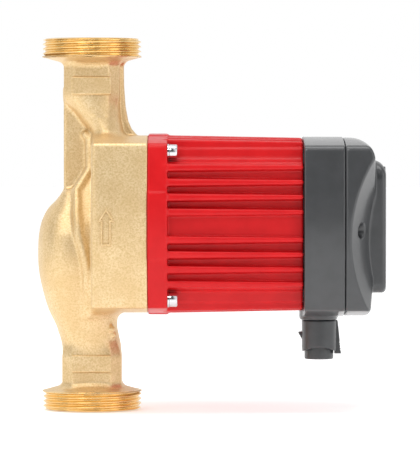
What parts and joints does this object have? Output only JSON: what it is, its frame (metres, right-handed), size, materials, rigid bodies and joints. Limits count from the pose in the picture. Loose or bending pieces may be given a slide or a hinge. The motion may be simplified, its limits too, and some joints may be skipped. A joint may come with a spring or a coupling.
{
  "type": "circulator pump",
  "caption": "Inline wet-rotor circulator pump: cast bronze housing with threaded unions, finned red motor, grey control box with push buttons and a plug connector.",
  "frame": {"origin": "centre of the inlet union's sealing face", "axes": "+Z along the pipe in the direction of flow, +X along the motor shaft towards the control box"},
  "size_m": [0.1685, 0.0887, 0.18],
  "materials": {
    "cast_bronze": "sand cast, matte, with machined threads and faces",
    "red_paint": "powder-coated aluminium die casting, satin",
    "grey_plastic": "moulded glass-filled plastic, satin",
    "plug_plastic": "moulded plastic, satin",
    "chromed_steel": "bright zinc or chrome plating",
    "steel": "drawn stainless steel",
    "black_rubber": "moulded rubber",
    "impeller_plastic": "glass-filled plastic",
    "carbon": "carbon bearing material, turned",
    "ceramic": "ground ceramic",
    "magnet": "sintered ferrite",
    "lamination": "stacked laminations",
    "insulator": "moulded insulation",
    "copper": "enamelled copper wire",
    "circuit_board": "glass-epoxy board with solder mask",
    "component_black": "moulded electronic parts",
    "contact_brass": "stamped brass",
    "panel_plastic": "semi-gloss control panel",
    "display": "dark display window",
    "light_guide": "translucent light guides",
    "button_plastic": "soft-touch push button"
  },
  "bodies": {
    "pump": {"pump_housing": "cast_bronze", "neck_ring": "steel", "bearing_plate": "steel", "front_bearing": "carbon", "rotor_can": "steel", "rear_bearing": "carbon", "housing_gasket": "black_rubber", "stator_core": "lamination", "stator_insulators": "insulator", "stator_windings": "copper", "motor_housing": "red_paint", "screw_washers": "chromed_steel", "housing_screws": "chromed_steel", "motor_leads": "insulator", "box_gasket": "black_rubber", "box_base": "grey_plastic", "base_screws": "chromed_steel", "pcb": "circuit_board", "pcb_screws": "chromed_steel", "power_module": "component_black", "heat_pad": "insulator", "capacitors": "component_black", "choke": "copper", "box_seal": "black_rubber", "box_cover": "grey_plastic", "cover_screws": "chromed_steel", "control_panel": "panel_plastic", "display_window": "display", "display_module": "component_black", "light_guides": "light_guide", "panel_board": "circuit_board", "key_mat": "black_rubber", "ribbon_cable": "insulator", "plug_header": "component_black", "header_pins": "contact_brass"},
    "rotor": {"impeller": "impeller_plastic", "impeller_shroud": "impeller_plastic", "shaft": "ceramic", "thrust_ring": "carbon", "rotor_core": "lamination", "rotor_magnets": "magnet", "rotor_sleeve": "steel"},
    "mode_button": {"mode_button": "button_plastic"},
    "speed_button": {"speed_button": "button_plastic"},
    "plug": {"plug_body": "plug_plastic", "plug_contacts": "contact_brass", "gland_nut": "plug_plastic", "gland_seal": "black_rubber"},
    "latch": {"plug_latch": "plug_plastic"}
  },
  "joints": [
    {"name": "rotor_spin", "type": "hinge", "parent": "pump", "child": "rotor", "pos_m": [0, 0, 0.09], "axis": [1, 0, 0], "continuous": true},
    {"name": "mode_press", "type": "slide", "parent": "pump", "child": "mode_button", "axis": [-1, 0, 0], "range_m": [0, 0.0008], "stiffness_N_per_m": 2500, "springref_m": -0.0004},
    {"name": "speed_press", "type": "slide", "parent": "pump", "child": "speed_button", "axis": [-1, 0, 0], "range_m": [0, 0.0008], "stiffness_N_per_m": 2500, "springref_m": -0.0004},
    {"name": "plug_pull", "type": "slide", "parent": "pump", "child": "plug", "axis": [0, 0, -1], "range_m": [0, 0.014]},
    {"name": "latch_swing", "type": "hinge", "parent": "plug", "child": "latch", "pos_m": [0.1184, 0, 0.0418], "axis": [0, -1, 0], "range_deg": [0, 10], "stiffness_Nm_per_rad": 0.05}
  ]
}
